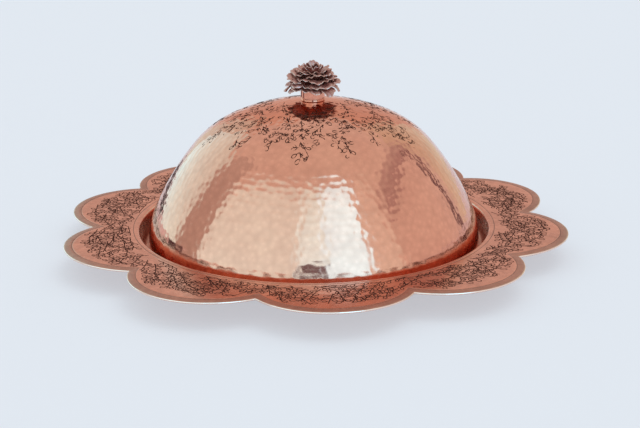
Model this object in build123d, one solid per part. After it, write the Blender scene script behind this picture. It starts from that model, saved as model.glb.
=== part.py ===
from build123d import *
import math
import os

# Serving plate with a domed lid and a flower knob. Millimetres, +Z up.
# The origin is on the table under the plate's centre, and a petal points along +X.

# Plate, one sheet
petal_count = 10
plate_radius = 180.0
petal_radius = 54.7
plate_sheet = 1.2
well_depth = 15.0
well_lip_radius = 124.6
well_wall_angle = 80.0
floor_bend_radius = 4.0
lip_bend_radius = 2.5
flange_slope = 2.5
rim_edge_radius = 0.4

# Lid, one sheet standing on the well's floor inside the wall
lid_play = 0.6
lid_sheet = 1.0
skirt_height = 2.9
bend_radius = 62.0
bend_end_angle = 26.0
shoulder_start_angle = 40.0
shoulder_radius = 71.0
crown_start_angle = 66.0
crown_radius = 145.0

# Knob: a turned ferrule, stamped petal rings and a bud on one stud
ferrule_radius = 8.5
ferrule_height = 10.0
ferrule_edge_radius = 0.6
seat_margin = 0.7
stud_radius = 2.0
stud_clearance = 0.15
bud_height = 12.2
bud_foot_radius = 2.8
bud_radius = 3.6
bud_trim = 0.15
bud_petal_count = 5

# The rings fill a dome: each one above is narrower and its petals stand steeper.
# Leans are above level, for the lowest and the highest ring.
flower_radius = 20.3
petal_sheet = 0.7
ring_gap = 0.25
ring_petal_counts = [9, 9, 9, 8, 7, 5]
ring_turns = [8.0, 27.0, 5.0, 30.0, 12.0, 40.0]
dome_fullness = 0.6
lowest_hub_radius = 8.2
highest_hub_radius = 3.4
root_leans = (18.0, 85.0)
root_lean_bow = 0.75
tip_leans = (-26.0, 54.0)
tip_lean_bow = 1.4
lobe_fullness = 0.85
slit_width = 0.4
slit_share = 0.7

# Fastening inside the lid
washer_radius = 7.0
washer_thickness = 1.0
nut_across_flats = 7.0
nut_thickness = 3.2
stud_tail = 1.2
stud_head_depth = 7.0


def polar(radius, angle):
    """A point in plan at an angle in degrees."""
    return (radius * math.cos(math.radians(angle)), radius * math.sin(math.radians(angle)))


def lobed_outline(count, tip_radius, lobe_radius, turn=0.0):
    """Flower outline: round lobes about a disc, one lobe tip at the turn angle."""
    lobe_centre = tip_radius - lobe_radius
    outline = Circle(lobe_centre)
    for index in range(count):
        outline += Pos(*polar(lobe_centre, turn + 360.0 * index / count)) * Circle(lobe_radius)
    return outline


def snug_lobe(count, tip_radius):
    """Radius of a lobe that overlaps its neighbours a little at this count."""
    return lobe_fullness * tip_radius * math.sin(math.pi / count)


def between(ends, share, bow):
    """A value from the first end to the last, bowed on its way."""
    return ends[0] + (ends[1] - ends[0]) * share ** bow


def upright(face):
    """Turn a profile drawn as radius and height into the XZ plane."""
    return Plane.XZ * face


def tangent_arc(start, radius, from_angle, to_angle):
    """Arc that climbs inwards, its angles measured from the vertical, and its end point."""
    first, last = math.radians(from_angle), math.radians(to_angle)
    centre = (start[0] - radius * math.cos(first), start[1] - radius * math.sin(first))

    def at(angle):
        return (centre[0] + radius * math.cos(angle), centre[1] + radius * math.sin(angle))

    return ThreePointArc(start, at((first + last) / 2), at(last)), at(last)


# Heights and radii that the pieces share
well_floor_height = plate_sheet
well_lip_height = well_floor_height + well_depth
wall_lean = math.radians(well_wall_angle)
wall_foot_radius = well_lip_radius - well_depth / math.tan(wall_lean)
flat_floor_radius = wall_foot_radius - floor_bend_radius * math.tan(wall_lean / 2)
skirt_radius = flat_floor_radius - lid_play
seat_radius = ferrule_radius + seat_margin


def shell_outline(inset):
    """The lid's profile from its rim to the flat seat, moved in by the inset."""
    cos, sin, rad = math.cos, math.sin, math.radians
    crown_edge = crown_radius * cos(rad(crown_start_angle))
    shoulder_edge = crown_edge + shoulder_radius * (
        cos(rad(shoulder_start_angle)) - cos(rad(crown_start_angle))
    )
    bend_edge = skirt_radius - bend_radius * (1 - cos(rad(bend_end_angle)))
    flank_radius = (bend_edge - shoulder_edge) / (
        cos(rad(bend_end_angle)) - cos(rad(shoulder_start_angle))
    )
    seat_angle = math.degrees(math.acos(seat_radius / crown_radius))

    rim = (skirt_radius - inset, well_floor_height)
    point = (rim[0], rim[1] + skirt_height)
    pieces = [Line(rim, point)]
    arc_table = [
        (bend_radius, 0.0, bend_end_angle),
        (flank_radius, bend_end_angle, shoulder_start_angle),
        (shoulder_radius, shoulder_start_angle, crown_start_angle),
        (crown_radius, crown_start_angle, seat_angle),
    ]
    for radius, from_angle, to_angle in arc_table:
        arc, point = tangent_arc(point, radius - inset, from_angle, to_angle)
        pieces.append(arc)
    return pieces, rim, point


seat_height = shell_outline(0.0)[2][1]
under_seat_height = shell_outline(lid_sheet)[2][1]
ferrule_top = seat_height + ferrule_height


def make_plate():
    """Well, wall and flange as one bent sheet, cut to ten petals."""
    slope = math.radians(flange_slope)
    reach = plate_radius + plate_sheet
    flange_rise = (reach - well_lip_radius) * math.tan(slope)
    upper = FilletPolyline(
        (0, well_floor_height),
        (wall_foot_radius, well_floor_height),
        (well_lip_radius, well_lip_height),
        (reach, well_lip_height + flange_rise),
        radius=[floor_bend_radius, lip_bend_radius],
    )
    # The underside's corners lie on the bisectors of the upper side's corners
    foot_shift = plate_sheet * math.tan(wall_lean / 2)
    lip_shift = plate_sheet * math.tan((wall_lean - slope) / 2)
    lower = FilletPolyline(
        (0, 0),
        (wall_foot_radius + foot_shift, 0),
        (
            well_lip_radius + lip_shift * math.cos(slope) + plate_sheet * math.sin(slope),
            well_lip_height + lip_shift * math.sin(slope) - plate_sheet * math.cos(slope),
        ),
        (reach, well_lip_height + flange_rise - plate_sheet / math.cos(slope)),
        radius=[floor_bend_radius + plate_sheet, lip_bend_radius - plate_sheet],
    )
    ends = [Line(upper @ 0, lower @ 0), Line(upper @ 1, lower @ 1)]
    dish = revolve(upright(make_face(upper.edges() + lower.edges() + ends)), Axis.Z)
    outline = lobed_outline(petal_count, plate_radius, petal_radius)
    plate = dish & extrude(outline, 2 * (well_lip_height + flange_rise))
    past_lip = well_lip_radius + 3 * lip_bend_radius
    rim_edges = [
        edge for edge in plate.edges()
        if math.hypot((edge @ 0.5).X, (edge @ 0.5).Y) > past_lip
    ]
    return fillet(rim_edges, rim_edge_radius)


def make_dome_shell():
    """Domed lid of even thickness with a flat, drilled seat for the knob."""
    outer, outer_rim, outer_end = shell_outline(0.0)
    inner, inner_rim, inner_end = shell_outline(lid_sheet)
    hole_radius = stud_radius + stud_clearance
    closing = [
        Line(outer_rim, inner_rim),
        Line(outer_end, (hole_radius, seat_height)),
        Line((hole_radius, seat_height), (hole_radius, under_seat_height)),
        Line((hole_radius, under_seat_height), inner_end),
    ]
    return revolve(upright(make_face(outer + inner + closing)), Axis.Z)


def make_ferrule():
    """Turned sleeve between the lid's seat and the lowest petal ring."""
    hole_radius = stud_radius + stud_clearance
    sleeve = Cylinder(ferrule_radius, ferrule_height, align=(Align.CENTER, Align.CENTER, Align.MIN))
    ends = sleeve.edges().filter_by(GeomType.CIRCLE)
    sleeve = fillet(ends, ferrule_edge_radius)
    sleeve -= Cylinder(hole_radius, ferrule_height, align=(Align.CENTER, Align.CENTER, Align.MIN))
    return Pos(0, 0, seat_height) * sleeve


def ring_base(index):
    """Height of a ring's underside: the rings stack from the ferrule up."""
    return ferrule_top + index * (petal_sheet + ring_gap)


def make_petal_ring(index):
    """Stamped disc: a flat hub, and petals that rise and curl outwards."""
    ring_count = len(ring_petal_counts)
    share = index / (ring_count - 1)
    root = math.radians(between(root_leans, share, root_lean_bow))
    tip = math.radians(between(tip_leans, share, tip_lean_bow))
    hub = between((lowest_hub_radius, highest_hub_radius), share, 1.0)
    outer = flower_radius * math.sqrt(1 - (index / (ring_count - dome_fullness)) ** 2)
    base = ring_base(index)
    blank_radius = outer + petal_sheet
    curl_radius = (blank_radius - hub) / (math.sin(root) - math.sin(tip))
    centre = (hub + curl_radius * math.sin(root), base - curl_radius * math.cos(root))

    def curl_line(radius, first):
        def at(lean):
            return (centre[0] - radius * math.sin(lean), centre[1] + radius * math.cos(lean))

        return ThreePointArc(at(first), at((first + tip) / 2), at(tip))

    upper_radius = curl_radius + petal_sheet
    upper_root = math.acos((petal_sheet + curl_radius * math.cos(root)) / upper_radius)
    under = curl_line(curl_radius, root)
    over = curl_line(upper_radius, upper_root)
    hole_radius = stud_radius + stud_clearance
    profile = make_face([
        Line((hole_radius, base), under @ 0),
        under,
        Line(under @ 1, over @ 1),
        over,
        Line(over @ 0, (hole_radius, base + petal_sheet)),
        Line((hole_radius, base + petal_sheet), (hole_radius, base)),
    ])
    count, turn = ring_petal_counts[index], ring_turns[index]
    outline = lobed_outline(count, outer, snug_lobe(count, outer), turn)
    stamp = Pos(0, 0, base - outer) * extrude(outline, 2 * outer)
    petals = revolve(upright(profile), Axis.Z) & stamp
    slit = Pos(outer, 0, base) * Box(2 * (outer - hub) * slit_share, slit_width, 2 * outer)
    for number in range(count):
        petals -= Rot(0, 0, turn + 360.0 * (number + 0.5) / count) * slit
    return petals


def make_bud():
    """Closed bud on the top ring, lobed like tight petals, blind-drilled for the stud."""
    base = ring_base(len(ring_petal_counts))
    shoulder = base + bud_height - bud_radius
    side = Line((bud_foot_radius, base), (bud_radius, shoulder))
    slant = bud_radius * math.cos(math.pi / 4)
    cap = ThreePointArc((bud_radius, shoulder), (slant, shoulder + slant), (0, base + bud_height))
    profile = make_face([
        Line((0, base), side @ 0),
        side,
        cap,
        Line(cap @ 1, (0, base)),
    ])
    lobe_tip = bud_radius - bud_trim
    lobes = lobed_outline(bud_petal_count, lobe_tip, snug_lobe(bud_petal_count, lobe_tip))
    bud = revolve(upright(profile), Axis.Z) & Pos(0, 0, base) * extrude(lobes, bud_height)
    drill = Cylinder(stud_radius, stud_head_depth, align=(Align.CENTER, Align.CENTER, Align.MIN))
    return bud - Pos(0, 0, base) * drill


def make_stud():
    """Rod from the nut inside the lid up into the bud."""
    bottom = under_seat_height - washer_thickness - nut_thickness - stud_tail
    top = ring_base(len(ring_petal_counts)) + stud_head_depth
    rod = Cylinder(stud_radius, top - bottom, align=(Align.CENTER, Align.CENTER, Align.MIN))
    return Pos(0, 0, bottom) * rod


def make_washer():
    """Flat washer under the lid's seat."""
    ring = Circle(washer_radius) - Circle(stud_radius + stud_clearance)
    return Pos(0, 0, under_seat_height - washer_thickness) * extrude(ring, washer_thickness)


def make_nut():
    """Hexagon nut that pulls the knob down on its seat."""
    hexagon = RegularPolygon(nut_across_flats / 2, 6, major_radius=False)
    nut = extrude(hexagon - Circle(stud_radius), nut_thickness)
    return Pos(0, 0, under_seat_height - washer_thickness - nut_thickness) * nut


pieces = {
    "plate": make_plate(),
    "dome_shell": make_dome_shell(),
    "knob_ferrule": make_ferrule(),
    "flower_bud": make_bud(),
    "knob_stud": make_stud(),
    "inner_washer": make_washer(),
    "inner_nut": make_nut(),
}
for index in range(len(ring_petal_counts)):
    pieces[f"petal_ring_{index + 1}"] = make_petal_ring(index)

os.makedirs("parts", exist_ok=True)
for name, piece in pieces.items():
    export_step(piece, f"parts/{name}.step")
    print(name, "solids", len(piece.solids()), "volume", round(piece.volume, 1))
flower_top = ring_base(len(ring_petal_counts)) + bud_height
print("seat height", round(seat_height, 2), "flower top", round(flower_top, 2))
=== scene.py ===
import bpy
import math
import random
import numpy as np
from mathutils import Matrix, Vector, noise


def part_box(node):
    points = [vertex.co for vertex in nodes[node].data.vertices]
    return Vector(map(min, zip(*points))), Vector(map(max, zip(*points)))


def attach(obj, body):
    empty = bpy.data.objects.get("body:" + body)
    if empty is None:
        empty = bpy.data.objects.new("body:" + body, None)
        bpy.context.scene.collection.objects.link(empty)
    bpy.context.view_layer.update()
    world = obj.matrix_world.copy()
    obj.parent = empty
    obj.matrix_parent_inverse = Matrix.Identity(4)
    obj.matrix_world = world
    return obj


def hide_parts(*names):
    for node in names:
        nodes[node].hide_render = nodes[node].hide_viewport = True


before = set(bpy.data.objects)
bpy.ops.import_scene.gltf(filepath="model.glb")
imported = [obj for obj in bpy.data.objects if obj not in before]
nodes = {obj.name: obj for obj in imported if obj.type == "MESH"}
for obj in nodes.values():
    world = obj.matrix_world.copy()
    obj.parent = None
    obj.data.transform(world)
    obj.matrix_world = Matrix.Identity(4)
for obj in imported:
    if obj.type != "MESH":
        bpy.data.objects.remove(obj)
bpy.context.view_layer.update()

mm = 0.001
mergeDistance = 0.01 * mm


def deselectAll():
    if bpy.context.object and bpy.context.object.mode != "OBJECT":
        bpy.ops.object.mode_set(mode="OBJECT")
    bpy.ops.object.select_all(action="DESELECT")


def makeActive(piece):
    deselectAll()
    piece.select_set(True)
    bpy.context.view_layer.objects.active = piece


def openMesh(piece):
    # edit mode with all points selected
    makeActive(piece)
    bpy.ops.object.mode_set(mode="EDIT")
    bpy.ops.mesh.select_all(action="SELECT")


def closeMesh():
    # turns the faces outwards and leaves edit mode
    bpy.ops.mesh.normals_make_consistent(inside=False)
    bpy.ops.object.mode_set(mode="OBJECT")


def meshPiece(name, points, faces, edges=()):
    mesh = bpy.data.meshes.new(name)
    mesh.from_pydata([tuple(p) for p in points], list(edges), faces)
    mesh.update()
    piece = bpy.data.objects.new(name, mesh)
    bpy.context.scene.collection.objects.link(piece)
    return piece


def spinSection(name, section, steps):
    # section is a closed loop of (radius, height), turned once about the axis
    count = len(section)
    loop = [(i, (i + 1) % count) for i in range(count)]
    piece = meshPiece(name, [(r, 0.0, z) for r, z in section], [], loop)
    openMesh(piece)
    bpy.ops.mesh.spin(steps=steps, angle=2 * math.pi, center=(0, 0, 0), axis=(0, 0, 1))
    bpy.ops.mesh.select_all(action="SELECT")
    bpy.ops.mesh.remove_doubles(threshold=mergeDistance)
    closeMesh()
    return piece


def readPoints(piece):
    flat = np.empty(len(piece.data.vertices) * 3)
    piece.data.vertices.foreach_get("co", flat)
    return flat.reshape(-1, 3)


def writePoints(piece, points):
    piece.data.vertices.foreach_set("co", np.ascontiguousarray(points).ravel())
    piece.data.update()


def writeMask(piece, name, values):
    mask = piece.data.attributes.new(name, "FLOAT", "POINT")
    mask.data.foreach_set("value", np.ascontiguousarray(values, dtype=np.float32))


def smoothByAngle(piece, degrees):
    makeActive(piece)
    bpy.ops.object.shade_smooth_by_angle(angle=math.radians(degrees))


def arcPoints(start, radius, fromAngle, toAngle, count):
    # an arc that climbs inwards, its angles measured from the vertical
    first, last = math.radians(fromAngle), math.radians(toAngle)
    centre = (start[0] - radius * math.cos(first), start[1] - radius * math.sin(first))
    angles = [first + (last - first) * (i + 1) / count for i in range(count)]
    return [(centre[0] + radius * math.cos(a), centre[1] + radius * math.sin(a)) for a in angles]


def turned(along, across, angle):
    cos, sin = math.cos(angle), math.sin(angle)
    return along * cos - across * sin, along * sin + across * cos


# Camera, fitted to the outline of the petals in the photograph
view = {
    "azimuth": 13.15,
    "elevation": 18.136,
    "roll": -0.472,
    "distance": 0.93087,
    "lens": 72.84,
    "sensor": 36,
    "clip": (0.05, 50),
    "aimHeight": 16.2 * mm,
    "shift": (0.0097, 0.0103),
}


def makeCamera():
    a, e = math.radians(view["azimuth"]), math.radians(view["elevation"])
    back = Vector((math.sin(a) * math.cos(e), -math.cos(a) * math.cos(e), math.sin(e)))
    side = Vector((math.cos(a), math.sin(a), 0))
    turn = Matrix.Rotation(math.radians(view["roll"]), 3, back)
    side = turn @ side
    rise = back.cross(side)
    data = bpy.data.cameras.new("camera")
    data.lens = view["lens"]
    data.sensor_width = view["sensor"]
    data.shift_x, data.shift_y = view["shift"]
    data.clip_start, data.clip_end = view["clip"]
    camera = bpy.data.objects.new("camera", data)
    place = Matrix((side, rise, back)).transposed().to_4x4()
    place.translation = Vector((0, 0, view["aimHeight"])) + back * view["distance"]
    camera.matrix_world = place
    bpy.context.scene.collection.objects.link(camera)
    bpy.context.scene.camera = camera


makeCamera()
print("camera placed")


# Node helpers, and shader groups that several finishes share
surface = {
    "cloudDetail": 5,
    "cloudGrain": 0.62,
    "cloudSpan": (0.38, 0.72),
    "gritDetail": 3,
    "gritShare": 0.18,
    "highestMark": 0.8,
}


def mathNode(tree, operation):
    node = tree.nodes.new("ShaderNodeMath")
    node.operation = operation
    return node


def colourMix(tree):
    # the factor, the two colours and the result of a Mix node set to colours
    node = tree.nodes.new("ShaderNodeMix")
    node.data_type = "RGBA"
    return node.inputs[0], node.inputs[6], node.inputs[7], node.outputs[2]


def mixShaders(tree, factor, first, second):
    node = tree.nodes.new("ShaderNodeMixShader")
    for source, target in zip((factor, first, second), node.inputs):
        tree.links.new(source, target)
    return node.outputs[0]


def newGroup(name, inputs, outputs):
    group = bpy.data.node_groups.new(name, "ShaderNodeTree")
    for label, kind, value in inputs:
        socket = group.interface.new_socket(label, in_out="INPUT", socket_type=kind)
        socket.default_value = value
    for label, kind in outputs:
        group.interface.new_socket(label, in_out="OUTPUT", socket_type=kind)
    return group, group.nodes.new("NodeGroupInput"), group.nodes.new("NodeGroupOutput")


def makeTarnishGroup():
    # cloudy colour change of handled copper, and how dull each place is
    group, entry, leave = newGroup(
        "tarnish",
        [
            ("Clean", "NodeSocketColor", (0.8, 0.4, 0.3, 1)),
            ("Stained", "NodeSocketColor", (0.5, 0.2, 0.15, 1)),
            ("Scale", "NodeSocketFloat", 30.0),
            ("Amount", "NodeSocketFloat", 0.5),
        ],
        [("Color", "NodeSocketColor"), ("Dullness", "NodeSocketFloat")],
    )
    place = group.nodes.new("ShaderNodeTexCoord")
    clouds = group.nodes.new("ShaderNodeTexNoise")
    clouds.inputs["Detail"].default_value = surface["cloudDetail"]
    clouds.inputs["Roughness"].default_value = surface["cloudGrain"]
    level = group.nodes.new("ShaderNodeMapRange")
    level.inputs["From Min"].default_value = surface["cloudSpan"][0]
    level.inputs["From Max"].default_value = surface["cloudSpan"][1]
    share = mathNode(group, "MULTIPLY")
    factor, first, second, mixed = colourMix(group)
    link = group.links.new
    link(place.outputs["Object"], clouds.inputs["Vector"])
    link(entry.outputs["Scale"], clouds.inputs["Scale"])
    link(clouds.outputs["Fac"], level.inputs["Value"])
    link(level.outputs["Result"], share.inputs[0])
    link(entry.outputs["Amount"], share.inputs[1])
    link(share.outputs[0], factor)
    link(entry.outputs["Clean"], first)
    link(entry.outputs["Stained"], second)
    link(mixed, leave.inputs["Color"])
    link(share.outputs[0], leave.inputs["Dullness"])
    return group


def makeHammerGroup():
    # height of small overlapping hammer marks, for a Bump node
    group, entry, leave = newGroup(
        "hammerMarks",
        [("Marks", "NodeSocketFloat", 240.0), ("Fine", "NodeSocketFloat", 900.0)],
        [("Height", "NodeSocketFloat")],
    )
    place = group.nodes.new("ShaderNodeTexCoord")
    marks = group.nodes.new("ShaderNodeTexVoronoi")
    marks.feature = "SMOOTH_F1"
    grit = group.nodes.new("ShaderNodeTexNoise")
    grit.inputs["Detail"].default_value = surface["gritDetail"]
    scaled = mathNode(group, "MULTIPLY_ADD")
    scaled.inputs[1].default_value = surface["gritShare"]
    link = group.links.new
    link(place.outputs["Object"], marks.inputs["Vector"])
    link(place.outputs["Object"], grit.inputs["Vector"])
    link(entry.outputs["Marks"], marks.inputs["Scale"])
    link(entry.outputs["Fine"], grit.inputs["Scale"])
    link(grit.outputs["Fac"], scaled.inputs[0])
    link(marks.outputs["Distance"], scaled.inputs[2])
    link(scaled.outputs[0], leave.inputs["Height"])
    return group


tarnishGroup = makeTarnishGroup()
hammerGroup = makeHammerGroup()


def newMaterial(name):
    material = bpy.data.materials.new(name)
    material.use_nodes = True
    tree = material.node_tree
    return material, tree, tree.nodes["Principled BSDF"]


def addGroup(tree, group, values):
    node = tree.nodes.new("ShaderNodeGroup")
    node.node_tree = group
    for label, value in values.items():
        node.inputs[label].default_value = value
    return node


def makeMetal(name, finish):
    # metal with a polish or a patina; each mask names an attribute, its colour and its roughness,
    # and may paint shade or a highlight into the colour
    material, tree, shader = newMaterial(name)
    link = tree.links.new
    shader.inputs["Metallic"].default_value = finish["metallic"]
    shader.inputs["Specular IOR Level"].default_value = finish["glare"]
    tarnish = addGroup(tree, tarnishGroup, {
        "Clean": finish["clean"],
        "Stained": finish["stained"],
        "Scale": finish["cloudScale"],
        "Amount": finish["cloudAmount"],
    })
    hammer = addGroup(tree, hammerGroup, {"Marks": finish["marks"], "Fine": finish["grit"]})
    shade = tree.nodes.new("ShaderNodeMapRange")
    shade.inputs["From Max"].default_value = surface["highestMark"]
    shade.inputs["To Min"].default_value = 1.0 + finish["shade"]
    shade.inputs["To Max"].default_value = 1.0 - finish["shade"]
    shaded = tree.nodes.new("ShaderNodeVectorMath")
    shaded.operation = "SCALE"
    link(hammer.outputs["Height"], shade.inputs["Value"])
    link(tarnish.outputs["Color"], shaded.inputs[0])
    link(shade.outputs["Result"], shaded.inputs["Scale"])
    colour = shaded.outputs[0]
    rough = tree.nodes.new("ShaderNodeMapRange")
    rough.inputs["To Min"].default_value = finish["roughness"][0]
    rough.inputs["To Max"].default_value = finish["roughness"][1]
    link(tarnish.outputs["Dullness"], rough.inputs["Value"])
    roughness = rough.outputs["Result"]
    for attribute, maskColour, maskRoughness in finish["masks"]:
        mask = tree.nodes.new("ShaderNodeAttribute")
        mask.attribute_name = attribute
        factor, under, over, mixed = colourMix(tree)
        over.default_value = maskColour
        link(mask.outputs["Fac"], factor)
        link(colour, under)
        colour = mixed
        # 2 and 3 are the Mix node's two plain numbers
        dull = tree.nodes.new("ShaderNodeMix")
        dull.inputs[3].default_value = maskRoughness
        link(mask.outputs["Fac"], dull.inputs["Factor"])
        link(roughness, dull.inputs[2])
        roughness = dull.outputs[0]
    link(colour, shader.inputs["Base Color"])
    link(roughness, shader.inputs["Roughness"])
    bump = tree.nodes.new("ShaderNodeBump")
    bump.inputs["Strength"].default_value = finish["bump"]
    bump.inputs["Distance"].default_value = finish["bumpHeight"]
    link(hammer.outputs["Height"], bump.inputs["Height"])
    link(bump.outputs["Normal"], shader.inputs["Normal"])
    return material


lidFinish = {
    "clean": (0.80, 0.335, 0.23, 1),
    "stained": (0.68, 0.26, 0.18, 1),
    "cloudScale": 24.0,
    "cloudAmount": 0.6,
    "roughness": (0.1, 0.19),
    "marks": 260.0,
    "grit": 800.0,
    "shade": 0.1,
    "metallic": 1.0,
    "glare": 0.5,
    "masks": (),
    "bump": 0.4,
    "bumpHeight": 0.06 * mm,
}
plateFinish = dict(
    lidFinish,
    clean=(0.78, 0.40, 0.31, 1),
    stained=(0.56, 0.265, 0.205, 1),
    cloudScale=48.0,
    cloudAmount=0.8,
    roughness=(0.15, 0.3),
    marks=330.0,
    grit=1100.0,
    shade=0.13,
    bump=0.6,
    bumpHeight=0.1 * mm,
    masks=(
        # dark colour of the engraved lines, also used as painted shade on the border band and the
        # well's wall
        ("groovesAndShade", (0.08, 0.038, 0.034, 1), 0.5),
        # painted highlight along the petals' cut edge
        ("rimHighlight", (0.93, 0.70, 0.62, 1), 0.12),
    ),
)
ferruleFinish = dict(lidFinish, roughness=(0.08, 0.16), marks=400.0, bump=0.15)
patinaFinish = dict(
    lidFinish,
    metallic=0.75,
    clean=(0.48, 0.225, 0.205, 1),
    stained=(0.58, 0.29, 0.225, 1),
    cloudScale=190.0,
    cloudAmount=0.9,
    roughness=(0.3, 0.46),
    marks=700.0,
    shade=0.2,
    bump=0.5,
    masks=(("rubbed", (0.62, 0.37, 0.31, 1), 0.26),),
)
brassFinish = dict(
    lidFinish,
    clean=(0.70, 0.50, 0.22, 1),
    stained=(0.42, 0.28, 0.12, 1),
    roughness=(0.2, 0.38),
)
grooveFinish = dict(
    lidFinish,
    clean=(0.032, 0.012, 0.010, 1),
    stained=(0.08, 0.032, 0.024, 1),
    cloudScale=160.0,
    roughness=(0.55, 0.7),
    metallic=0.0,
    glare=0.0,
)

lidCopper = makeMetal("lidCopper", lidFinish)
plateCopper = makeMetal("plateCopper", plateFinish)
ferruleCopper = makeMetal("ferruleCopper", ferruleFinish)
darkPatina = makeMetal("darkPatina", patinaFinish)
plainBrass = makeMetal("plainBrass", brassFinish)
grooveDark = makeMetal("grooveDark", grooveFinish)


def finishPiece(piece, material, body, slotName, *replaced):
    piece.data.materials.clear()
    piece.data.materials.append(material)
    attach(piece, body)
    if replaced:
        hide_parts(*replaced)


def coatNode(name, material):
    nodes[name].data.materials.clear()
    nodes[name].data.materials.append(material)


coatNode("knob_ferrule", ferruleCopper)
for name in ("knob_stud", "inner_washer", "inner_nut"):
    coatNode(name, plainBrass)
print("finishes made")


# Lid: a spun shell, hammered all over in rings of shallow marks
lid = {
    "rimHeight": 1.2 * mm,
    "rimRadius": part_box("dome_shell")[1].x,
    "sheet": 1.0 * mm,
    "skirt": 2.9 * mm,
    # radius of each arc, and the angle where the bend ends or the other two start
    "bend": (62.0 * mm, 26.0),
    "shoulder": (71.0 * mm, 40.0),
    "crown": (145.0 * mm, 66.0),
    "seatRadius": 9.2 * mm,
    "seatRows": (0.75, 0.5),
    "holeRadius": 2.15 * mm,
    "steps": 480,
    "rowPitch": 1.08 * mm,
    "innerPitch": 6 * mm,
    "tablePitch": 0.5 * mm,
    "slopeStep": 0.4 * mm,
    "onLine": 0.02 * mm,
    "smoothAngle": 40,
    "markPitch": 4.6 * mm,
    "markDepth": 0.095 * mm,
    "markReach": 1.3,
    "meanDepth": 0.6,
    "fewestMarks": 6,
    "plainEnds": (3 * mm, 4 * mm),
    "jitter": 0.28,
    "jitterCount": 200,
    "seed": 11,
}


def cosine(degrees):
    return math.cos(math.radians(degrees))


def lidLine(inset, rowPitch):
    # the profile from rim to seat as evenly spaced points
    bendRadius, bendEnd = lid["bend"]
    shoulderRadius, shoulderStart = lid["shoulder"]
    crownRadius, crownStart = lid["crown"]
    shoulderEdge = crownRadius * cosine(crownStart)
    shoulderEdge += shoulderRadius * (cosine(shoulderStart) - cosine(crownStart))
    bendEdge = lid["rimRadius"] - bendRadius * (1 - cosine(bendEnd))
    flankRadius = (bendEdge - shoulderEdge) / (cosine(bendEnd) - cosine(shoulderStart))
    seatAngle = math.degrees(math.acos(lid["seatRadius"] / crownRadius))
    start = (lid["rimRadius"] - inset, lid["rimHeight"])
    rows = max(2, round(lid["skirt"] / rowPitch))
    line = [(start[0], start[1] + lid["skirt"] * i / rows) for i in range(rows + 1)]
    for radius, first, last in (
        (bendRadius, 0.0, bendEnd),
        (flankRadius, bendEnd, shoulderStart),
        (shoulderRadius, shoulderStart, crownStart),
        (crownRadius, crownStart, seatAngle),
    ):
        count = max(3, round(radius * math.radians(last - first) / rowPitch))
        line += arcPoints(line[-1], radius - inset, first, last, count)
    return line


def runAlong(line):
    # distance from the line's start to each of its points
    return np.concatenate([[0], np.cumsum(np.hypot(*np.diff(line, axis=0).T))])


lidOuter = lidLine(0.0, lid["rowPitch"])
lidTable = np.array(lidLine(0.0, lid["tablePitch"]))
lidRun = runAlong(lidTable)
lidLength = lidRun[-1] + lid["seatRadius"]


def lidAt(fromApex):
    # radius, height and outward slope on the lid, by the distance from the apex along the sheet
    run = lidLength - fromApex
    step = lid["slopeStep"]
    radius, height = (np.interp(run, lidRun, column) for column in lidTable.T)
    ahead, climb = (
        np.interp(run + step, lidRun, column) - np.interp(run - step, lidRun, column)
        for column in lidTable.T
    )
    size = np.hypot(ahead, climb) + 1e-12  # never zero
    return radius, height, climb / size, -ahead / size


def hammerDepth(run, turn, radius):
    # square of the distance to the nearest mark's centre; the marks lie in rings about the axis
    rng = np.random.default_rng(lid["seed"])
    pitch = lid["markPitch"]
    ringCount = int(lidLength / pitch) + 3
    best = np.full(len(run), np.inf)
    shifts = rng.uniform(0, 1, ringCount + 2)
    jitter = rng.uniform(-lid["jitter"], lid["jitter"], (ringCount + 2, lid["jitterCount"], 2))
    ring0 = np.floor(run / pitch).astype(int)
    for offset in (-1, 0, 1):
        ring = np.clip(ring0 + offset, 0, ringCount)
        middle = (ring + 0.5) * pitch
        ringRadius = np.interp(middle, lidRun, lidTable[:, 0])
        marks = np.round(2 * np.pi * ringRadius / pitch)
        marks = np.maximum(lid["fewestMarks"], marks).astype(int)
        column = turn / (2 * np.pi) * marks + shifts[ring]
        for side in (-1, 0, 1):
            index = np.floor(column).astype(int) + side
            shake = jitter[ring, index % marks % lid["jitterCount"]]
            across = (column - index - 0.5 - shake[:, 0]) * 2 * np.pi * radius / marks
            along = run - middle - shake[:, 1] * pitch
            best = np.minimum(best, np.hypot(across, along) / (0.5 * pitch))
    return np.clip(best, 0, lid["markReach"]) ** 2


def makeLid():
    inner = lidLine(lid["sheet"], lid["innerPitch"])
    seat, under = lidOuter[-1][1], inner[-1][1]
    seatRows = [lid["seatRadius"] * share for share in lid["seatRows"]] + [lid["holeRadius"]]
    section = lidOuter + [(r, seat) for r in seatRows] + [(lid["holeRadius"], under)] + inner[::-1]
    piece = spinSection("lid_shell", section, lid["steps"])
    points = readPoints(piece)
    radius = np.hypot(points[:, 0], points[:, 1])
    turn = np.arctan2(points[:, 1], points[:, 0]) % (2 * np.pi)
    # only the outer side is hammered: find each point's row on the outer line
    rows = np.array(lidOuter)
    gap = np.hypot(radius[:, None] - rows[:, 0], points[:, 2][:, None] - rows[:, 1])
    nearest = gap.argmin(axis=1)
    outer = gap[np.arange(len(points)), nearest] < lid["onLine"]
    rowRun = runAlong(rows)
    run = rowRun[nearest]
    depth = hammerDepth(run, turn, radius) * lid["markDepth"]
    rimFade, seatFade = lid["plainEnds"]
    fade = np.clip(run / rimFade, 0, 1) * np.clip((rowRun[-1] - run) / seatFade, 0, 1)
    _, _, outward, upward = lidAt(lidLength - run)
    shift = np.where(outer, (depth - lid["markDepth"] * lid["meanDepth"]) * fade, 0)
    points[:, 0] += shift * outward * np.cos(turn)
    points[:, 1] += shift * outward * np.sin(turn)
    points[:, 2] += shift * upward
    writePoints(piece, points)
    smoothByAngle(piece, lid["smoothAngle"])
    finishPiece(piece, lidCopper, "lid", "lid_copper", "dome_shell")


makeLid()
print("lid made")


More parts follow.
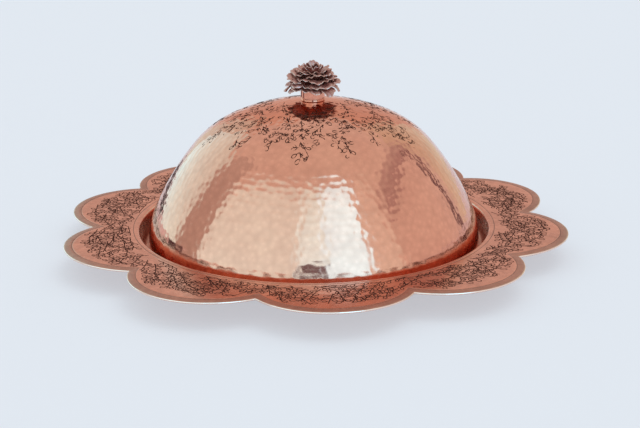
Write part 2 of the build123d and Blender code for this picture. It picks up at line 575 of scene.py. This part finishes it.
# Plate: a spun dish whose flange is drawn to ten petals
plate = {
    "sheet": 1.2 * mm,
    "lipRadius": 124.6 * mm,
    "lipHeight": 16.2 * mm,
    "footRadius": 121.955 * mm,
    "footBend": 4.0 * mm,
    "footSteps": 5,
    "lipBend": 2.5 * mm,
    "lipSteps": (6, 4),
    "wallAngle": 80.0,
    "slope": 2.5,
    "tipRadius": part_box("plate")[1].x,
    "petalRadius": 54.7 * mm,
    "petals": 10,
    "floorRings": (0.5 * mm, 30 * mm, 60 * mm, 90 * mm, 108 * mm, 114 * mm),
    "underRings": (160 * mm, 145 * mm, 132 * mm),
    "flangeRows": 24,
    "circleLine": 128.6 * mm,
    "border": 5.5 * mm,
    "borderDrop": 0.55 * mm,
    "borderShares": (0.06, 0.3, 0.6, 0.85),
    "borderBow": 1.5,
    "edge": 0.35 * mm,
    "edgeCorner": (0.1 * mm, 0.12 * mm),
    "grooveHalf": 0.42 * mm,
    "grooveDepth": 0.08 * mm,
    "wave": 0.14 * mm,
    "waveRise": 12 * mm,
    "waveScale": 42,
    "waveSeed": 3.7,
    "steps": 720,
    "smoothAngle": 50,
}
# how dark the painted shade is on the border band and on the well's wall, and how far the masks
# reach
plateMasks = {
    "bandShade": 0.42,
    "wellShade": 0.35,
    "onLine": 0.1 * mm,
    "bandEnd": 0.5 * mm,
    # how far in from the tip the painted highlight on the cut edge reaches
    "rim": 0.3 * mm,
    "wallStart": 100 * mm,
    "wallEnd": 1.2 * mm,
}


def flangeHeight(radius):
    rise = math.tan(math.radians(plate["slope"]))
    return plate["lipHeight"] + (radius - plate["lipRadius"]) * rise


def cornerArc(corner, before, after, radius, count):
    # rounds a corner between two directions, given as angles above level
    turn = math.radians(after - before)
    reach = radius * math.tan(abs(turn) / 2)
    a = math.radians(before)
    start = (corner[0] - reach * math.cos(a), corner[1] - reach * math.sin(a))
    sign = 1 if turn > 0 else -1
    centre = (start[0] - sign * radius * math.sin(a), start[1] + sign * radius * math.cos(a))
    points = []
    for i in range(count + 1):
        angle = a + turn * i / count
        across, up = sign * radius * math.sin(angle), sign * radius * math.cos(angle)
        points.append((centre[0] + across, centre[1] - up))
    return points


def plateSection():
    slope, sheet = math.radians(plate["slope"]), plate["sheet"]
    wall, tip = plate["wallAngle"], plate["tipRadius"]
    footSteps, (lipSteps, lipUnderSteps) = plate["footSteps"], plate["lipSteps"]
    lip = (plate["lipRadius"], plate["lipHeight"])
    top = [(r, sheet) for r in plate["floorRings"]]
    top += cornerArc((plate["footRadius"], sheet), 0, wall, plate["footBend"], footSteps)
    top += cornerArc(lip, wall, plate["slope"], plate["lipBend"], lipSteps)
    half, deep = plate["grooveHalf"], plate["grooveDepth"]
    line = plate["circleLine"]
    borderLine = tip - plate["border"]
    top += [(line - half, flangeHeight(line - half)), (line, flangeHeight(line) - deep)]
    rows = plate["flangeRows"]
    for i in range(rows + 1):
        r = line + half + (borderLine - line - 2 * half) * i / rows
        top.append((r, flangeHeight(r)))
    top.append((borderLine, flangeHeight(borderLine) - deep))
    for share in plate["borderShares"]:
        r = borderLine + plate["border"] * share
        top.append((r, flangeHeight(r) - plate["borderDrop"] * share ** plate["borderBow"]))
    outerTop = flangeHeight(tip) - plate["borderDrop"]
    edge, (cornerIn, cornerDown) = plate["edge"], plate["edgeCorner"]
    top += [(tip - edge, outerTop), (tip - cornerIn, outerTop - cornerDown), (tip, outerTop - edge)]
    under = [(tip, outerTop - sheet + edge), (tip - edge, outerTop - sheet)]
    under.append((borderLine, flangeHeight(borderLine) - sheet / math.cos(slope)))
    for r in plate["underRings"]:
        under.append((r, flangeHeight(r) - sheet / math.cos(slope)))
    lipShift = sheet * math.tan((math.radians(wall) - slope) / 2)
    lipCorner = (
        plate["lipRadius"] + lipShift * math.cos(slope) + sheet * math.sin(slope),
        plate["lipHeight"] + lipShift * math.sin(slope) - sheet * math.cos(slope),
    )
    lipUnder = cornerArc(lipCorner, wall, plate["slope"], plate["lipBend"] - sheet, lipUnderSteps)
    under += lipUnder[::-1]
    footCorner = (plate["footRadius"] + sheet * math.tan(math.radians(wall) / 2), 0.0)
    under += cornerArc(footCorner, 0, wall, plate["footBend"] + sheet, footSteps)[::-1]
    # back to the middle, without the outermost of the floor's rings
    under += [(r, 0.0) for r in plate["floorRings"][-2::-1]]
    return top + under


def petalReach(turn, inset):
    # distance from the axis to the flower outline, or to a line inside it
    pitch = 2 * np.pi / plate["petals"]
    offset = (turn + pitch / 2) % pitch - pitch / 2
    centre = plate["tipRadius"] - plate["petalRadius"]
    radius = plate["petalRadius"] - inset
    across = centre * np.sin(offset)
    return centre * np.cos(offset) + np.sqrt(np.maximum(radius ** 2 - across ** 2, 0))


def drawnRadius(radius, turn):
    # moves a round flange's radius to the petal outline
    line, tip = plate["circleLine"], plate["tipRadius"]
    borderLine = tip - plate["border"]
    innerReach = petalReach(turn, plate["border"])
    outerReach = petalReach(turn, 0.0)
    flange = line + (radius - line) / (borderLine - line) * (innerReach - line)
    band = innerReach + (radius - borderLine) / plate["border"] * (outerReach - innerReach)
    return np.where(radius <= line, radius, np.where(radius <= borderLine, flange, band))


def flangeWave(x, y):
    # slow hand-made waviness of the flange, nothing at the lip
    radius = math.hypot(x, y)
    share = min(1.0, max(0.0, (radius - plate["lipRadius"]) / plate["waveRise"]))
    spot = Vector((x * plate["waveScale"], y * plate["waveScale"], plate["waveSeed"]))
    return plate["wave"] * share * noise.noise(spot)


def makePlate():
    piece = spinSection("plate_dish", plateSection(), plate["steps"])
    points = readPoints(piece)
    radius = np.hypot(points[:, 0], points[:, 1])
    turn = np.arctan2(points[:, 1], points[:, 0])
    tip = plate["tipRadius"]
    borderLine, near = tip - plate["border"], plateMasks["onLine"]
    topSide = points[:, 2] > flangeHeight(radius) - plate["sheet"] / 2
    lines = (np.abs(radius - plate["circleLine"]) < near) | (np.abs(radius - borderLine) < near)
    band = (radius > borderLine + near) & (radius < tip - plateMasks["bandEnd"])
    # the engraved lines at full strength, and painted shade over the border band
    groovesAndShade = np.where(lines, 1.0, np.where(band, plateMasks["bandShade"], 0.0))
    # the petals' cut edge, which gets a painted highlight
    rim = radius > tip - plateMasks["rim"]
    wallEnd = plate["lipRadius"] - plateMasks["wallEnd"]
    well = (radius > plateMasks["wallStart"]) & (radius < wallEnd)
    drawn = drawnRadius(radius, turn)
    points[:, 2] += (drawn - radius) * math.tan(math.radians(plate["slope"]))
    points[:, 0] = drawn * np.cos(turn)
    points[:, 1] = drawn * np.sin(turn)
    flange = drawn > plate["lipRadius"]
    for i in np.nonzero(flange)[0]:
        points[i, 2] += flangeWave(points[i, 0], points[i, 1])
    writePoints(piece, points)
    # painted shade on the well's wall, down in the gap round the lid
    groovesAndShade = np.where(well, plateMasks["wellShade"], np.where(topSide, groovesAndShade, 0.0))
    writeMask(piece, "groovesAndShade", groovesAndShade)
    writeMask(piece, "rimHighlight", np.where(rim, 1.0, 0.0))
    smoothByAngle(piece, plate["smoothAngle"])
    finishPiece(piece, plateCopper, "plate", "plate_copper", "plate")


makePlate()
print("plate made")


# Engraving: leaves on stalks, cut as fine dark lines
engraving = {
    "leafLength": 4.3 * mm,
    "leafHalf": 1.5 * mm,
    "leafBelly": (0.55, 0.45),
    "leafLean": (0.6, 1.0),
    "leafStart": 1.6 * mm,
    "leafRoom": 4 * mm,
    "leafScale": (0.75, 1.1),
    "stalk": 2.6 * mm,
    "stalkBow": 0.5 * mm,
    "stemStep": 2.6 * mm,
    "stemCurl": 22,
    "turnScatter": 0.4,
    "plateLine": 0.42 * mm,
    "lidLine": 0.33 * mm,
    "proud": 0.06 * mm,
    "sunk": 0.02 * mm,
    "leafPoints": 9,
    # plain metal by the circle line, by the border and at a petal's tip, and the tip's share
    "circleGap": 1.6 * mm,
    "borderGap": 1.8 * mm,
    "tipGap": 7 * mm,
    "tipShare": 0.3,
}


def flangePlace(x, y):
    height = flangeHeight(math.hypot(x, y))
    return Vector((x, y, height + flangeWave(x, y))), Vector((0, 0, 1))


def lidPlace(x, y):
    # the lid rolled flat: distance from the apex and direction
    fromApex = math.hypot(x, y)
    turn = math.atan2(y, x)
    radius, height, outward, upward = lidAt(fromApex)
    normal = Vector((outward * math.cos(turn), outward * math.sin(turn), upward))
    return Vector((radius * math.cos(turn), radius * math.sin(turn), height)), normal


def addStroke(points, faces, path, place, half, closed):
    # a low ridge of three sides along a path in the flat pattern
    first, count = len(points), len(path)
    for i in range(count):
        ahead = path[(i + 1) % count] if closed else path[min(i + 1, count - 1)]
        behind = path[i - 1] if closed else path[max(i - 1, 0)]
        dx, dy = ahead[0] - behind[0], ahead[1] - behind[1]
        size = math.hypot(dx, dy) or 1.0
        nx, ny = -dy / size * half, dx / size * half
        x, y = path[i]
        for sideX, sideY, lift in (
            (x + nx, y + ny, -engraving["sunk"]),
            (x, y, engraving["proud"]),
            (x - nx, y - ny, -engraving["sunk"]),
        ):
            spot, normal = place(sideX, sideY)
            points.append(spot + normal * lift)
    for i in range(count if closed else count - 1):
        a, b = first + 3 * i, first + 3 * ((i + 1) % count)
        faces.extend([(a, a + 1, b + 1, b), (a + 1, a + 2, b + 2, b + 1), (a + 2, a, b, b + 2)])
    if not closed:
        last = first + 3 * (count - 1)
        faces.extend([(first, first + 2, first + 1), (last, last + 1, last + 2)])


def addLeaf(points, faces, place, half, x, y, angle, scale):
    # the leaf's outline, then its bowed stalk
    even, belly = engraving["leafBelly"]
    loop = []
    for i in range(engraving["leafPoints"]):
        t = 2 * math.pi * i / engraving["leafPoints"]
        along = engraving["leafLength"] * scale * (0.5 - 0.5 * math.cos(t))
        across = engraving["leafHalf"] * scale * math.sin(t) * (even + belly * math.sin(t / 2))
        dx, dy = turned(along, across, angle)
        loop.append((x + dx, y + dy))
    addStroke(points, faces, loop, place, half, True)
    stalk = []
    for share in (0.0, 0.5, 1.0):
        bow = engraving["stalkBow"] * math.sin(math.pi * share)
        back = -engraving["stalk"] * scale * share
        dx, dy = turned(back, bow, angle)
        stalk.append((x + dx, y + dy))
    addStroke(points, faces, stalk, place, half, False)


def growSprig(rng, x, y, angle, pattern, inside, taken):
    # a curving stem with leaves on alternate sides; a leaf too near another is left out
    leaves, stem = [], [(x, y)]
    curl = rng.uniform(-engraving["stemCurl"], engraving["stemCurl"])
    walked, side = 0.0, rng.choice((-1, 1))
    step, start, room = engraving["stemStep"], engraving["leafStart"], engraving["leafRoom"]
    while walked < pattern["length"]:
        x, y = x + step * math.cos(angle), y + step * math.sin(angle)
        if not inside(x, y):
            break
        stem.append((x, y))
        angle += curl * step
        walked += step
        side = -side
        lean = angle + side * rng.uniform(*engraving["leafLean"])
        leafX, leafY = x + start * math.cos(lean), y + start * math.sin(lean)
        free = all(math.hypot(leafX - a, leafY - b) > pattern["spacing"] for a, b in taken)
        if free and inside(leafX + room * math.cos(lean), leafY + room * math.sin(lean)):
            taken.append((leafX, leafY))
            leaves.append((leafX, leafY, lean, rng.uniform(*engraving["leafScale"])))
    return stem, leaves


def buildEngraving(name, place, half, sprigs, body, slotName):
    points, faces = [], []
    for stem, leaves in sprigs:
        addStroke(points, faces, stem, place, half, False)
        for leaf in leaves:
            addLeaf(points, faces, place, half, *leaf)
    piece = meshPiece(name, points, faces)
    openMesh(piece)
    closeMesh()
    finishPiece(piece, grooveDark, body, slotName)
    print(name, len(faces), "faces")


def insideFlange(x, y):
    # between the circle line and the border, with the petal tips left plain
    radius, turn = math.hypot(x, y), math.atan2(y, x)
    if radius < plate["circleLine"] + engraving["circleGap"]:
        return False
    pitch = 2 * math.pi / plate["petals"]
    offset = (turn + pitch / 2) % pitch - pitch / 2
    towardsTip = max(0.0, 1 - abs(offset) / (engraving["tipShare"] * pitch))
    plain = engraving["borderGap"] + engraving["tipGap"] * towardsTip
    return radius < float(petalReach(np.array([turn]), plate["border"] + plain)[0])


# sprigs start in rings about the axis, a pitch apart along each ring
plateSprigs = {
    "seed": 5,
    "rings": 6,
    "first": 131.5 * mm,
    "ringPitch": 5.6 * mm,
    "pitch": 9.5 * mm,
    "scatter": 1.5 * mm,
    "length": 19 * mm,
    "spacing": 2.75 * mm,
    "lean": lambda rng: rng.choice((-1, 1)) * rng.uniform(0.2, 1.7),
}
lidSprigs = {
    "seed": 9,
    "rings": 11,
    "first": 20 * mm,
    "ringPitch": 6 * mm,
    "pitch": 10 * mm,
    "scatter": 2 * mm,
    "length": 17 * mm,
    "spacing": 2.9 * mm,
    "lean": lambda rng: rng.uniform(-1.5, 1.5),
}


def sowSprigs(pattern, inside):
    # a sprig with a single leaf or none is left out
    rng = random.Random(pattern["seed"])
    apart, scatter = engraving["turnScatter"], pattern["scatter"]
    taken, sprigs = [], []
    for ring in range(pattern["rings"]):
        radius = pattern["first"] + pattern["ringPitch"] * ring
        count = round(2 * math.pi * radius / pattern["pitch"])
        for i in range(count):
            turn = 2 * math.pi * (i + rng.uniform(-apart, apart)) / count
            reach = radius + rng.uniform(-scatter, scatter)
            x, y = reach * math.cos(turn), reach * math.sin(turn)
            angle = turn + pattern["lean"](rng)
            if inside(x, y):
                sprigs.append(growSprig(rng, x, y, angle, pattern, inside, taken))
    return [sprig for sprig in sprigs if len(sprig[1]) > 1]


lidClusters = {
    # each hanging cluster: its turn in degrees, and its end and half width in millimetres
    "clusters": (
        (-84, 84, 15), (-101, 76, 12), (-60, 88, 14), (-36, 78, 15), (-14, 86, 15),
        (14, 82, 14), (42, 88, 15), (70, 80, 14), (98, 86, 15), (126, 80, 14),
        (154, 88, 15), (182, 82, 14), (210, 88, 15), (236, 82, 14),
    ),
    "knobClear": 19 * mm,
    "ring": 46 * mm,
    "bulge": (0.62, 0.38, 3.1),
}


def lidCluster(x, y):
    # none close to the knob, all over round it, and hanging in clusters further down
    reach = math.hypot(x, y)
    if reach < lidClusters["knobClear"]:
        return False
    if reach < lidClusters["ring"]:
        return True
    turn = math.degrees(math.atan2(y, x))
    even, swell, waves = lidClusters["bulge"]
    for centre, end, half in lidClusters["clusters"]:
        across = math.radians((turn - centre + 180) % 360 - 180) * reach
        share = (reach - lidClusters["ring"]) / (end * mm - lidClusters["ring"])
        if share < 1:
            width = half * mm * math.sqrt(1 - share ** 2)
            if abs(across) < width * (even + swell * math.sin(waves * share)):
                return True
    return False


buildEngraving(
    "plate_engraving", flangePlace, engraving["plateLine"],
    sowSprigs(plateSprigs, insideFlange), "plate", "plate_copper",
)
buildEngraving(
    "lid_engraving", lidPlace, engraving["lidLine"],
    sowSprigs(lidSprigs, lidCluster), "lid", "lid_copper",
)
print("engraving made")


# Flower: ruffled petals, ring over ring, each petal bent a little differently
flower = {
    "seat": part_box("knob_ferrule")[1].z,
    "radius": 20.3 * mm,
    "rings": 6,
    "fullness": 0.6,
    "hubs": (8.2 * mm, 3.4 * mm),
    "rootLeans": (18.0, 85.0),
    "rootBow": 0.75,
    "tipLeans": (-48.0, 34.0),
    "tipBow": 1.2,
    "crowns": (1.3 * mm, 3.9 * mm, 7.0 * mm, 10.1 * mm, 12.9 * mm, 15.4 * mm, 16.6 * mm),
    "rootPitch": 0.95 * mm,
    "heart": {"root": 88.0, "tip": 26.0, "hub": 0.9 * mm, "outer": 4.8 * mm},
    "sheet": 0.5 * mm,
    "cup": -0.5 * mm,
    "petals": (14, 15, 14, 13, 11, 8, 5),
    "turns": (8.0, 27.0, 5.0, 30.0, 12.0, 40.0, 22.0),
    "columns": 10,
    "rows": 9,
    "smoothAngle": 60,
    "seed": 40,
}
# how far petals differ: turns and tips in degrees, outer and width as shares
petalSpread = {
    "turn": (-5, 5),
    "tip": (-18, 16),
    "outer": (0.86, 1.0),
    "width": (0.85, 1.1),
    "phase": (0, 6.28),
    "waves": (1.6, 2.6),
    "ruffle": (0.4 * mm, 1.0 * mm),
    "twist": (-0.3, 0.3),
    "crown": (-1.1 * mm, 0.6 * mm),
}
# a petal's outline: its width, how far its sides fall back, its root and its rounded end
petalShape = {
    "width": 1.32,
    "fallBack": (0.16, 2.5),
    "root": 0.34,
    "widening": 1.25,
    "roundFrom": 0.8,
    "rounding": 0.25,
    "rubFrom": 0.7,
    "rubPowers": (3, 6),
    "rubbed": 0.7,
}


def between(ends, share, bow):
    return ends[0] + (ends[1] - ends[0]) * share ** bow


def spread(rng, name):
    return rng.uniform(*petalSpread[name])


def ringShape(ring):
    # root and tip lean, hub radius and outer radius of one ring, the last one being the heart
    if ring == flower["rings"]:
        heart = flower["heart"]
        return heart["root"], heart["tip"], heart["hub"], heart["outer"]
    share = ring / (flower["rings"] - 1)
    root = between(flower["rootLeans"], share, flower["rootBow"])
    tip = between(flower["tipLeans"], share, flower["tipBow"])
    outer = flower["radius"] * math.sqrt(1 - (ring / (flower["rings"] - flower["fullness"])) ** 2)
    return root, tip, between(flower["hubs"], share, 1.0), outer


def shapePetal(ring, turn, rng):
    # a curved strip, u across and v from root to tip; rub is how bright its edge is worn
    root, tip, hub, outer = ringShape(ring)
    root, tip = math.radians(root), math.radians(tip + spread(rng, "tip"))
    outer *= spread(rng, "outer")
    base = flower["seat"] + ring * flower["rootPitch"]
    curl = (outer - hub) / (math.sin(root) - math.sin(tip))
    width = petalShape["width"] * math.pi * outer / flower["petals"][ring] * spread(rng, "width")
    phase, waves = spread(rng, "phase"), spread(rng, "waves")
    ruffle, twist = spread(rng, "ruffle"), spread(rng, "twist")
    columns, rows = flower["columns"], flower["rows"]
    crown = flower["seat"] + flower["crowns"][ring] + spread(rng, "crown")
    top = math.cos(max(0.0, tip))
    fallBack, fallPower = petalShape["fallBack"]
    rootWidth, widening = petalShape["root"], petalShape["widening"]
    roundFrom, rounding = petalShape["roundFrom"], petalShape["rounding"]
    rubFrom, (sidePower, endPower) = petalShape["rubFrom"], petalShape["rubPowers"]
    points, rub = [], []
    for j in range(rows + 1):
        v = j / rows
        for i in range(columns + 1):
            u = 2 * i / columns - 1
            reach = v * (1 - fallBack * abs(u) ** fallPower * v)
            lean = root + (tip - root) * reach
            r = hub + curl * (math.sin(root) - math.sin(lean))
            if lean > 0:
                climb = (math.cos(lean) - math.cos(root)) / (top - math.cos(root))
                z = base + (crown - base) * climb
            else:
                z = crown - curl * (1 - math.cos(lean))
            opened = math.sin(min(1.0, reach * widening) * math.pi / 2)
            half = width * (rootWidth + (1 - rootWidth) * opened)
            lift = flower["cup"] * u * u * reach
            lift += ruffle * reach ** 2 * math.sin(waves * math.pi * u + phase)
            lift += twist * u * half * reach
            endShare = max(0.0, v - roundFrom) / (1 - roundFrom)
            across = u * half * (1 - rounding * endShare * abs(u))
            r -= lift * math.sin(lean)
            z += lift * math.cos(lean)
            x, y = turned(r, across, turn)
            points.append((x, y, z))
            edge = max(abs(u) ** sidePower, v ** endPower)
            worn = max(0.0, (edge - rubFrom) / (1 - rubFrom))
            rub.append(petalShape["rubbed"] * min(1.0, worn))
    faces = []
    for j in range(rows):
        for i in range(columns):
            a = j * (columns + 1) + i
            faces.append((a, a + 1, a + columns + 2, a + columns + 1))
    return points, faces, rub


def makeRing(ring):
    rng = random.Random(flower["seed"] + ring)
    points, faces, rub = [], [], []
    count = flower["petals"][ring]
    for i in range(count):
        turn = flower["turns"][ring] + 360 * i / count + spread(rng, "turn")
        somePoints, someFaces, someRub = shapePetal(ring, math.radians(turn), rng)
        faces += [tuple(k + len(points) for k in face) for face in someFaces]
        points += somePoints
        rub += someRub
    name, node = "flower_ring_%d" % (ring + 1), "petal_ring_%d" % (ring + 1)
    if ring == flower["rings"]:
        name, node = "flower_heart", "flower_bud"
    piece = meshPiece(name, points, faces)
    writeMask(piece, "rubbed", np.array(rub))
    makeActive(piece)
    wall = piece.modifiers.new("wall", "SOLIDIFY")
    wall.thickness = flower["sheet"]
    wall.offset = 0
    bpy.ops.object.modifier_apply(modifier="wall")
    smooth = piece.modifiers.new("smooth", "SUBSURF")
    smooth.levels = smooth.render_levels = 1
    bpy.ops.object.modifier_apply(modifier="smooth")
    smoothByAngle(piece, flower["smoothAngle"])
    finishPiece(piece, darkPatina, "lid", "flower_patina", node)


for ring in range(flower["rings"] + 1):
    makeRing(ring)
print("flower made")


# Studio: a pale floor under even light, and cards that only the metal reflects
studio = {
    "pale": (0.757, 0.812, 0.88, 1),
    "floorRadius": 8.0,
    "floorSides": 96,
    "floorDrop": 0.02 * mm,
    "floorGlow": 0.58,
    "skyLight": 0.87,
    "sun": {"facing": 100, "height": 72, "distance": 2, "strength": 0.43, "spread": 40},
    "horizon": (0.80, 0.85, 0.84, 1),
    "zenith": (0.78, 0.88, 0.86, 1),
    # facing: degrees to the right of the camera; span: width, low edge, high edge in metres
    "cards": [
        {"name": "frontCard", "facing": -25, "distance": 1.5, "span": (5.3, 0.07, 2.18),
         "low": (1.0, 1.75, 1.95), "high": (0.93, 1.5, 1.6)},
        {"name": "frontSill", "facing": -25, "distance": 1.55, "span": (5.3, 2.3, 2.42),
         "low": (0.95, 1.4, 1.5), "high": (0.95, 1.4, 1.5)},
        {"name": "paleCard", "facing": -1, "distance": 1.25, "span": (0.46, 0.04, 1.98),
         "low": (1.2, 2.7, 3.4), "high": (0.97, 1.7, 1.85)},
        {"name": "brightCard", "facing": 23, "distance": 1.2, "span": (0.66, 0.04, 1.9),
         "low": (1.2, 2.95, 4.1), "high": (1.1, 2.3, 3.0)},
        {"name": "softCard", "facing": 49, "distance": 1.3, "span": (0.5, 0.0, 1.75),
         "low": (0.92, 1.2, 1.2), "high": (0.86, 1.02, 1.0)},
        {"name": "leftGap", "facing": -96, "distance": 1.7, "span": (0.8, 0.0, 2.4),
         "low": (0.55, 0.6, 0.6), "high": (0.62, 0.68, 0.68)},
        {"name": "leftCard", "facing": -128, "distance": 1.2, "span": (1.0, 0.02, 1.2),
         "low": (0.97, 1.75, 1.9), "high": (0.8, 1.2, 1.25)},
        {"name": "leftPale", "facing": -154, "distance": 1.6, "span": (0.4, 0.0, 1.3),
         "low": (0.8, 0.95, 0.85), "high": (0.7, 0.8, 0.74)},
        {"name": "rightPale", "facing": 143, "distance": 1.6, "span": (0.85, 0.0, 1.7),
         "low": (0.78, 0.88, 0.74), "high": (0.72, 0.8, 0.7)},
        {"name": "rightStreak", "facing": 121, "distance": 1.2, "span": (0.085, 0.0, 0.95),
         "low": (0.12, 0.08, 0.11), "high": (0.22, 0.16, 0.2)},
        {"name": "rightSmear", "facing": 98, "distance": 1.25, "span": (1.7, 1.0, 1.5),
         "low": (0.46, 0.42, 0.46), "high": (0.68, 0.74, 0.74)},
        {"name": "backCard", "facing": 180, "distance": 2.2, "span": (3.2, 0.15, 2.2),
         "low": (0.70, 0.50, 0.42), "high": (0.74, 0.62, 0.52)},
        {"name": "smallDark", "facing": -1, "distance": 0.8, "span": (0.24, 0.065, 0.24),
         "low": (0.18, 0.16, 0.22), "high": (0.18, 0.16, 0.22)},
        {"name": "leftDark", "facing": -139, "distance": 0.4, "span": (0.17, 0.0, 0.03),
         "low": (0.05, 0.04, 0.05), "high": (0.08, 0.06, 0.08)},
        {"name": "lowDark", "facing": -96, "distance": 0.4, "span": (0.11, 0.0, 0.026),
         "low": (0.08, 0.05, 0.07), "high": (0.08, 0.05, 0.07)},
    ],
}


def towards(facing):
    a = math.radians(facing + view["azimuth"])
    return Vector((math.sin(a), -math.cos(a), 0))


def cardMaterial(card):
    # seen in reflections only, its colour running from the low edge to the high one
    material, tree, shader = newMaterial(card["name"])
    tree.nodes.remove(shader)
    link = tree.links.new
    path = tree.nodes.new("ShaderNodeLightPath")
    clear = tree.nodes.new("ShaderNodeBsdfTransparent")
    place = tree.nodes.new("ShaderNodeTexCoord")
    axes = tree.nodes.new("ShaderNodeSeparateXYZ")
    height = tree.nodes.new("ShaderNodeMapRange")
    height.inputs["From Min"].default_value = card["span"][1]
    height.inputs["From Max"].default_value = card["span"][2]
    factor, low, high, mixed = colourMix(tree)
    low.default_value = (*card["low"], 1)
    high.default_value = (*card["high"], 1)
    glow = tree.nodes.new("ShaderNodeEmission")
    link(place.outputs["Object"], axes.inputs[0])
    link(axes.outputs["Z"], height.inputs["Value"])
    link(height.outputs["Result"], factor)
    link(mixed, glow.inputs["Color"])
    mix = mixShaders(tree, path.outputs["Is Glossy Ray"], clear.outputs[0], glow.outputs[0])
    link(mix, tree.nodes["Material Output"].inputs["Surface"])
    material.cycles.emission_sampling = "NONE"
    return material


def makeCards():
    for card in studio["cards"]:
        width, low, high = card["span"]
        out = towards(card["facing"])
        side = Vector((-out.y, out.x, 0)) * width / 2
        middle = out * card["distance"]
        corners = ((-1, low), (1, low), (1, high), (-1, high))
        points = [middle + side * s + Vector((0, 0, z)) for s, z in corners]
        piece = meshPiece(card["name"], points, [(0, 1, 2, 3)])
        piece.data.materials.append(cardMaterial(card))


def makeFloor():
    deselectAll()
    bpy.ops.mesh.primitive_circle_add(
        vertices=studio["floorSides"], radius=studio["floorRadius"], fill_type="NGON",
        location=(0, 0, -studio["floorDrop"]),
    )
    bpy.ops.object.transform_apply(location=True)
    floor = bpy.context.object
    floor.name = "floor"
    material, tree, shader = newMaterial("floorPale")
    tree.nodes.remove(shader)
    path = tree.nodes.new("ShaderNodeLightPath")
    matt = tree.nodes.new("ShaderNodeBsdfDiffuse")
    matt.inputs["Color"].default_value = studio["pale"]
    glow = tree.nodes.new("ShaderNodeEmission")
    glow.inputs["Color"].default_value = studio["pale"]
    # the camera and reflections see it glow in part, so it stays even and pale
    seen = mathNode(tree, "MAXIMUM")
    part = mathNode(tree, "MULTIPLY")
    part.inputs[1].default_value = studio["floorGlow"]
    link = tree.links.new
    link(path.outputs["Is Camera Ray"], seen.inputs[0])
    link(path.outputs["Is Glossy Ray"], seen.inputs[1])
    link(seen.outputs[0], part.inputs[0])
    mix = mixShaders(tree, part.outputs[0], matt.outputs[0], glow.outputs[0])
    link(mix, tree.nodes["Material Output"].inputs["Surface"])
    floor.data.materials.append(material)
    material.cycles.emission_sampling = "NONE"


def makeSun():
    sun = studio["sun"]
    data = bpy.data.lights.new("sun", "SUN")
    data.energy = sun["strength"]
    data.angle = math.radians(sun["spread"])
    lamp = bpy.data.objects.new("sun", data)
    lift = math.radians(sun["height"])
    aim = towards(sun["facing"]) * math.cos(lift) + Vector((0, 0, math.sin(lift)))
    lamp.rotation_euler = aim.to_track_quat("Z", "Y").to_euler()
    lamp.location = aim * sun["distance"]
    lamp.visible_glossy = False
    bpy.context.scene.collection.objects.link(lamp)


def makeWorld():
    # even light on matt surfaces, a room's colours in reflections, plain pale to the camera
    world = bpy.data.worlds.new("studio")
    world.use_nodes = True
    bpy.context.scene.world = world
    tree = world.node_tree
    link = tree.links.new
    even = tree.nodes["Background"]
    even.inputs["Color"].default_value = (1, 1, 1, 1)
    even.inputs["Strength"].default_value = studio["skyLight"]
    pale = tree.nodes.new("ShaderNodeBackground")
    pale.inputs["Color"].default_value = studio["pale"]
    room = tree.nodes.new("ShaderNodeBackground")
    place = tree.nodes.new("ShaderNodeTexCoord")
    axes = tree.nodes.new("ShaderNodeSeparateXYZ")
    factor, low, high, mixed = colourMix(tree)
    low.default_value = studio["horizon"]
    high.default_value = studio["zenith"]
    link(place.outputs["Generated"], axes.inputs[0])
    link(axes.outputs["Z"], factor)
    link(mixed, room.inputs["Color"])
    path = tree.nodes.new("ShaderNodeLightPath")
    shiny = mixShaders(tree, path.outputs["Is Glossy Ray"], even.outputs[0], room.outputs[0])
    mix = mixShaders(tree, path.outputs["Is Camera Ray"], shiny, pale.outputs[0])
    link(mix, tree.nodes["World Output"].inputs["Surface"])


makeFloor()
makeCards()
makeSun()
makeWorld()
bpy.context.scene.view_settings.view_transform = "Standard"
print("studio made")
